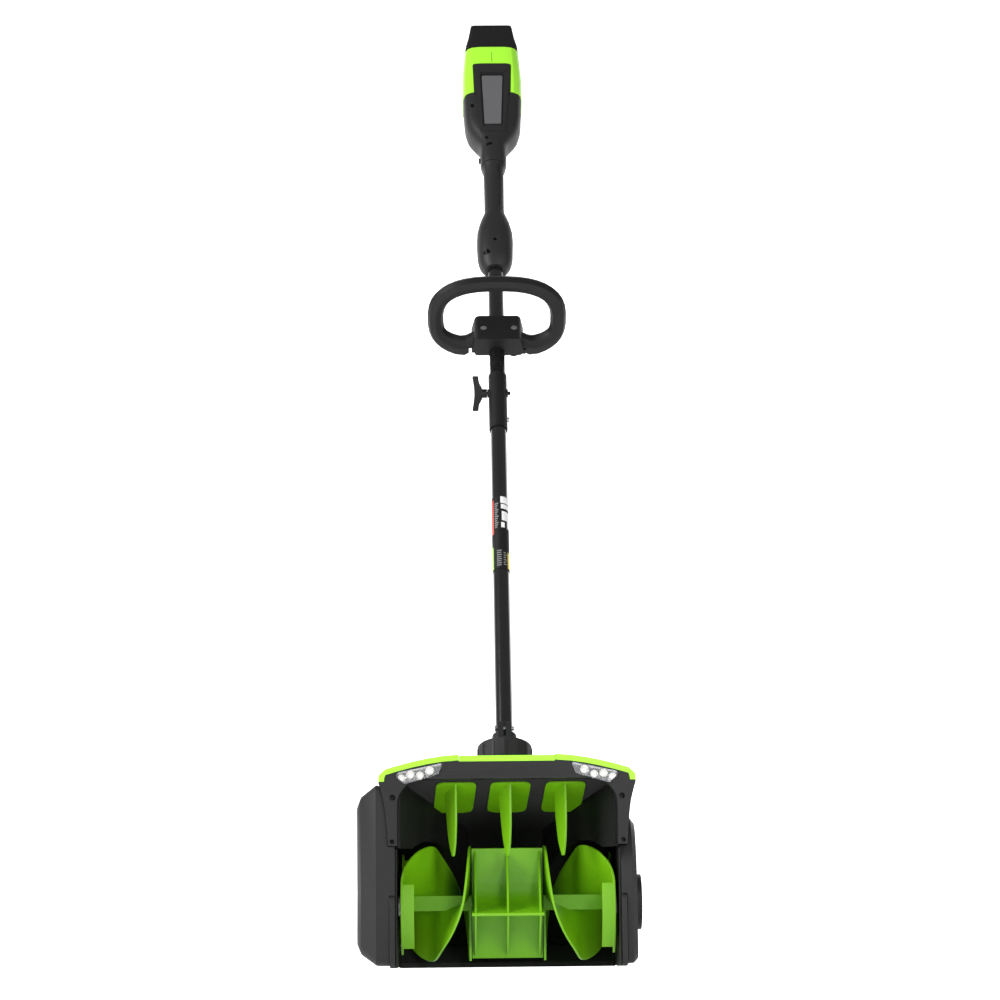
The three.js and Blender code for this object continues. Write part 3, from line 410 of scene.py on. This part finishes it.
# ---------------------------------------------------------------- label
FILM_R, FILM_T = 13.05, 0.25
PRINT_R, PRINT_T = 13.32, 0.1
WRAP_STEP = 6


def wrap(from_s, to_s, from_turn, to_turn, radius=PRINT_R, thick=PRINT_T):
    """A patch of film on the tube; turns are degrees round from the left side over the upper side."""
    count = max(3, int((to_turn - from_turn) / WRAP_STEP) + 1)
    outer = radius + thick
    rings = []
    for k in range(count + 1):
        a = math.radians(from_turn + (to_turn - from_turn) * k / count)
        section = ((from_s, radius), (to_s, radius), (to_s, outer), (from_s, outer))
        rings.append([on_shaft(-r * math.cos(a), -r * math.sin(a), s) for s, r in section])
    return tube_of_rings(rings)


def small_bars():
    """Rows of short bars where the label has lines of small print."""
    rows = [wrap(430 - 4.2 * k, 432.5 - 4.2 * k, 50, 78 - 5 * (k % 3)) for k in range(12)]
    rows += [wrap(310 + 4.0 * k, 312 + 4.0 * k, 62, 92 + 4 * (k % 2)) for k in range(8)]
    rows += [wrap(312 + 4.4 * k, 314 + 4.4 * k, 108, 132 - 6 * (k % 2)) for k in range(6)]
    return rows


def white_blocks():
    blocks = [
        (432, 445, 92, 190), (421, 430, 95, 190), (398, 416, 100, 190),
        (384, 398, 140, 190), (384, 394, 95, 120),
    ]
    return [wrap(*block) for block in blocks]


def build_label():
    film = wrap(305, 446, -12, 192, FILM_R, FILM_T)
    base = add_piece("shaft_label_film", *film, "black_plastic", "head", slot="panel")
    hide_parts("shaft_label")
    prints = {
        "white": merged(white_blocks()),
        "grey": merged(small_bars()),
        "red": wrap(374, 441, -10, 40),
        "green": wrap(306, 349, -10, 34),
        "yellow": wrap(307, 338, 140, 190),
    }
    for colour, patches in prints.items():
        add_piece("label_" + colour, *patches, colour + "_print", "head", slot="panel")


build_label()


# ---------------------------------------------------------------- patches draped over a piece
ABOVE = -120
SINK = 0.8


def surface_of(node):
    """A search tree over one CAD piece's surface."""
    work = bmesh.new()
    work.from_mesh(NODES[node].data)
    tree = BVHTree.FromBMesh(work)
    work.free()
    return tree


def seat(tree, x, s, lift):
    """The point over (x, s) of the shaft frame that lies a little above the piece's upper side."""
    start = SHAFT @ (Vector((x, ABOVE, s)) * MM)
    hit = tree.ray_cast(start, -UP)[0]
    if hit is None:
        hit = tree.find_nearest(start)[0]
    return (hit + UP * lift * MM) / MM


def along(edge, t):
    """The point at a share t of a polyline whose stretches count alike."""
    place = t * (len(edge) - 1)
    k = min(int(place), len(edge) - 2)
    f = place - k
    return [edge[k][i] + (edge[k + 1][i] - edge[k][i]) * f for i in (0, 1)]


def draped(tree, left, right, lift, across=6, steps=6):
    """A thin patch between two edges, each a list of (x, s), laid over the piece."""
    rings = []
    rows = steps * (len(left) - 1)
    for row in range(rows + 1):
        a, b = along(left, row / rows), along(right, row / rows)
        shares = [k / across for k in range(across + 1)]
        line = [(a[0] + (b[0] - a[0]) * f, a[1] + (b[1] - a[1]) * f) for f in shares]
        top = [seat(tree, x, s, lift) for x, s in line]
        low = [seat(tree, x, s, -SINK) for x, s in reversed(line)]
        rings.append(top + low)
    return tube_of_rings(rings)


def mirrored(edge):
    return [(-x, s) for x, s in edge]


def stud(tree, x, s, radius, rise):
    """A short round plug set into the piece's upper side, standing a little proud of it; in near black it
    is painted shade standing in for a hole.
    """
    centre = seat(tree, x, s, 0)
    turn = SHAFT.to_3x3()
    side = (turn @ Vector((1, 0, 0))).normalized()
    run = (turn @ Vector((0, 0, 1))).normalized()
    rings = [
        [tuple(Vector(centre) + UP * h + (side * c + run * n) * radius) for c, n in round_points(16)]
        for h in (rise, -1.0)
    ]
    return tube_of_rings(rings)


FRAME_LIFT = 1.3
MARK_LIFT = 0.25
SCREW_R, PIN_R = 4.0, 1.6


def build_badge_frame(tree):
    """The raised frame round the badge: two legs, two bars at the top and one at the bottom."""
    inner = [(17.4, 1262), (20.2, 1330), (21.6, 1390)]
    outer = [(21.5, 1254), (28.0, 1330), (31.5, 1403)]
    legs = [
        draped(tree, inner, outer, FRAME_LIFT, across=4),
        draped(tree, mirrored(outer), mirrored(inner), FRAME_LIFT, across=4),
    ]
    bars = []
    for right, across in (
        ([(31.5, 1403), (30.0, 1409)], 12),
        ([(21.6, 1392), (31.5, 1403)], 12),
        ([(21.5, 1250), (19.0, 1259)], 8),
    ):
        bars.append(draped(tree, mirrored(right), right, FRAME_LIFT, across, steps=2))
    add_piece("badge_frame", *merged(legs + bars), "graphite_plastic", BODY_OF["power_head_body"])


def build_power_head_details():
    tree = surface_of("power_head_body")
    build_badge_frame(tree)
    # Screw holes, pin holes and a slot: near-black plugs and a patch standing a little proud, painted
    # shade in place of recesses.
    hole_and_slot_shade = [stud(tree, x, s, SCREW_R, MARK_LIFT) for x, s in ((-35, 1312), (-10, 1236))]
    hole_and_slot_shade += [stud(tree, x, 1338, PIN_R, MARK_LIFT) for x in (-29, 29)]
    slot_left, slot_right = [(-12, 1216), (-12, 1222)], [(-2, 1218), (-2, 1224)]
    hole_and_slot_shade.append(draped(tree, slot_left, slot_right, MARK_LIFT, across=3, steps=1))
    body = BODY_OF["power_head_body"]
    add_piece("power_head_hole_shade", *merged(hole_and_slot_shade), "void", body, slot="black_plastic")
    left, right = [(-0.3, 1419), (-0.3, 1444)], [(0.3, 1419), (0.3, 1444)]
    seam = draped(surface_of("green_band"), left, right, 0.12, across=1)
    add_piece("band_seam", *seam, "void", BODY_OF["green_band"], slot="black_plastic")


def build_grip_details():
    tree = surface_of("grip")
    ring = draped(tree, [(-16, 1122), (-16, 1123)], [(16, 1136), (16, 1137)], 0.15, across=12, steps=1)
    line = draped(tree, [(8.6, 1080), (8.6, 1178)], [(9.2, 1080), (9.2, 1178)], 0.15, across=1)
    add_piece("grip_seam", *merged([ring, line]), "void", BODY_OF["grip"], slot="black_plastic")
    bulb = surface_of("tube_clamp_housing")
    # A hole and a slot on the bulb: near-black patches standing a little proud, painted shade in place of
    # recesses.
    hole = stud(bulb, -11, 962, 4.2, 0.3)
    slot = draped(bulb, [(-20, 956), (-20, 962)], [(-9, 956), (-9, 962)], 0.3, across=4, steps=1)
    body = BODY_OF["tube_clamp_housing"]
    add_piece("bulb_hole_shade", *merged([hole, slot]), "void", body, slot="black_plastic")


build_power_head_details()
build_grip_details()


# ---------------------------------------------------------------- stage
FLOOR_HALF = 8
FLOOR_Z = -0.002
BACKDROP_HALF, BACKDROP_Y, BACKDROP_LOW, BACKDROP_HIGH = 9, 7.9, -0.1, 9
WORLD_STRENGTH = 0.26
CAMERA_PLACE = (-0.0567, -3.814, 0.0)
CAMERA_TURN, CAMERA_PITCH, CAMERA_ROLL = -0.8, 90 + 10.04, -0.62


def stage_mesh(name, corners, material):
    mesh = bpy.data.meshes.new(name)
    mesh.from_pydata(corners, [], [tuple(range(len(corners)))])
    obj = bpy.data.objects.new(name, mesh)
    bpy.context.scene.collection.objects.link(obj)
    mesh.materials.append(material)


def paper(name):
    """White paper, lit a little from within so that it stays pale."""
    material, nodes, links, shader = new_material(name)
    tone = tinted(nodes, links, noise(nodes, links, 2.0), *grey(0.86, 0.88))
    links.new(tone, shader.inputs["Base Color"])
    shader.inputs["Roughness"].default_value = 0.9
    shader.inputs["Emission Color"].default_value = (1, 1, 1, 1)
    shader.inputs["Emission Strength"].default_value = 0.45
    return material


def build_floor():
    f, z = FLOOR_HALF, FLOOR_Z
    stage_mesh("floor", [(-f, -f, z), (f, -f, z), (f, f, z), (-f, f, z)], paper("paper"))
    h, y = BACKDROP_HALF, BACKDROP_Y
    corners = [(-h, y, BACKDROP_LOW), (h, y, BACKDROP_LOW), (h, y, BACKDROP_HIGH), (-h, y, BACKDROP_HIGH)]
    stage_mesh("backdrop", corners, glow("backdrop", (1, 1, 1), 1.02))


def area_light(name, location, target, size, power):
    data = bpy.data.lights.new(name, "AREA")
    data.shape = "RECTANGLE"
    data.size, data.size_y = size
    data.energy = power
    obj = bpy.data.objects.new(name, data)
    obj.location = location
    obj.rotation_euler = (Vector(target) - Vector(location)).to_track_quat("-Z", "Y").to_euler()
    bpy.context.scene.collection.objects.link(obj)


def build_lights():
    world = bpy.data.worlds.new("studio")
    world.use_nodes = True
    background = world.node_tree.nodes["Background"]
    background.inputs["Color"].default_value = (1, 1, 1, 1)
    background.inputs["Strength"].default_value = WORLD_STRENGTH
    bpy.context.scene.world = world
    area_light("key", (-3.0, -1.6, 1.9), (0, 0.2, 0.7), (1.6, 3.0), 150)
    area_light("fill", (2.8, -2.2, 1.2), (0, 0.2, 0.6), (1.2, 2.0), 26)
    area_light("front", (1.1, -3.4, 1.3), (0, 0.0, 0.2), (0.7, 1.2), 32)


def build_camera():
    data = bpy.data.cameras.new("camera")
    data.lens = 95
    data.sensor_width = 36
    obj = bpy.data.objects.new("camera", data)
    bpy.context.scene.collection.objects.link(obj)
    obj.matrix_world = (
        Matrix.Translation(CAMERA_PLACE)
        @ Matrix.Rotation(math.radians(CAMERA_TURN), 4, "Z")
        @ Matrix.Rotation(math.radians(CAMERA_PITCH), 4, "X")
        @ Matrix.Rotation(math.radians(CAMERA_ROLL), 4, "Z")
    )
    bpy.context.scene.camera = obj


build_floor()
build_lights()
build_camera()
bpy.context.scene.view_settings.view_transform = "Standard"
